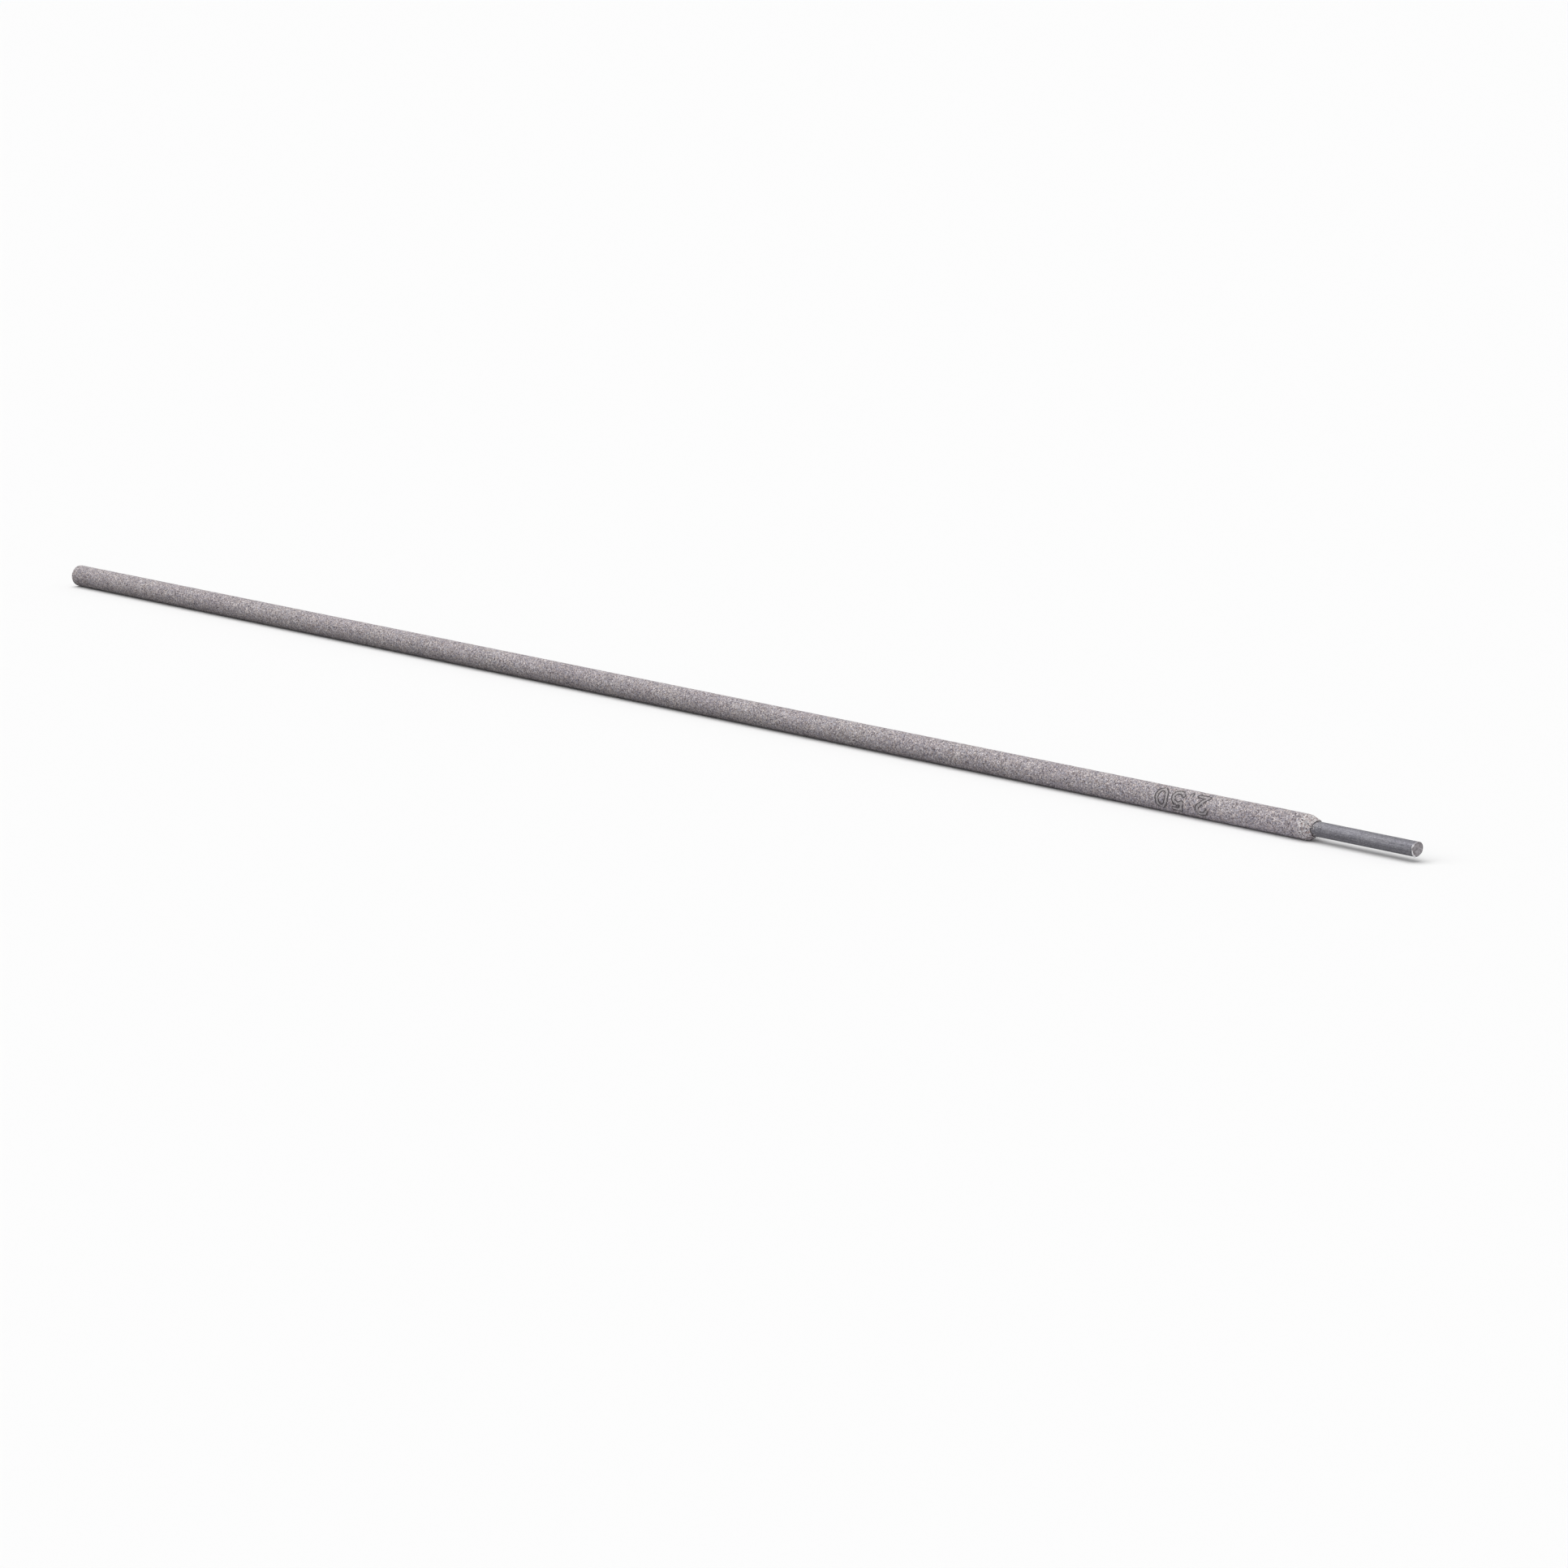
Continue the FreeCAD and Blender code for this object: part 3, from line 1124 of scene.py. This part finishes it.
def floor_material():
    n = Nodes("pale_floor")
    along = n.span(n.split(n.place)[0], BOUNCE_FROM * MM, BOUNCE_TO * MM)
    # Painted light: the floor throws back more light towards the grip end, while the camera sees
    # it evenly pale.
    painted_bounce = n.ramp(along, BOUNCE_TONES)
    n.shows("Base Color", n.mix(seen_directly(n.tree), painted_bounce, colour(FLOOR_COLOUR)))
    n.shader.inputs["Roughness"].default_value = 0.9
    n.shader.inputs["Specular IOR Level"].default_value = 0.0
    return n.material


def floor():
    mesh = bpy.data.meshes.new("floor")
    sides = ((-1, -1), (1, -1), (1, 1), (-1, 1))
    corners = [(x * FLOOR_REACH, y * FLOOR_REACH, -COATING_R * MM) for x, y in sides]
    mesh.from_pydata(corners, [], [(0, 1, 2, 3)])
    mesh.materials.append(floor_material())
    piece = bpy.data.objects.new("floor", mesh)
    bpy.context.scene.collection.objects.link(piece)


def sun(name, toward_lamp, strength, angle):
    """A soft lamp whose light comes from one direction."""
    data = bpy.data.lights.new(name, "SUN")
    data.energy = strength
    data.angle = math.radians(angle)
    lamp = bpy.data.objects.new(name, data)
    lamp.rotation_euler = Vector(toward_lamp).to_track_quat("Z", "Y").to_euler()
    bpy.context.scene.collection.objects.link(lamp)


def world(level):
    """Even light of one level, in front of a white backdrop."""
    studio = bpy.data.worlds.new("studio")
    studio.use_nodes = True
    tree = studio.node_tree
    back = tree.nodes["Background"]
    back.inputs["Color"].default_value = (1, 1, 1, 1)
    strength = tree.nodes.new("ShaderNodeMapRange")
    strength.inputs["To Min"].default_value = level
    strength.inputs["To Max"].default_value = WHITE
    tree.links.new(seen_directly(tree), strength.inputs["Value"])
    tree.links.new(strength.outputs["Result"], back.inputs["Strength"])
    bpy.context.scene.world = studio


def camera():
    data = bpy.data.cameras.new("camera")
    data.sensor_width = SENSOR
    data.lens = SENSOR * FOCAL_PIXELS / FRAME_PIXELS
    data.clip_start = 0.01
    data.clip_end = 100
    level = math.cos(CAMERA_TILT)
    back_x = math.sin(CAMERA_TURN) * level
    back_y = -math.cos(CAMERA_TURN) * level
    back = Vector((back_x, back_y, math.sin(CAMERA_TILT)))
    right = Vector((math.cos(CAMERA_TURN), math.sin(CAMERA_TURN), 0.0))
    matrix = Matrix((right, back.cross(right), back)).transposed().to_4x4()
    matrix.translation = Vector(CAMERA_PLACE) * MM
    piece = bpy.data.objects.new("camera", data)
    piece.matrix_world = matrix
    bpy.context.scene.collection.objects.link(piece)
    bpy.context.scene.camera = piece


grid = skin_grid()
add_covering(grid)
add_wire()
add_mark(grid)
floor()
sun("key", (-0.15, -0.10, 0.98), strength=1.75, angle=60)
sun("side", (-0.45, -0.68, 0.58), strength=0.9, angle=45)
world(0.40)
camera()

scene = bpy.context.scene
scene.view_settings.view_transform = "Standard"
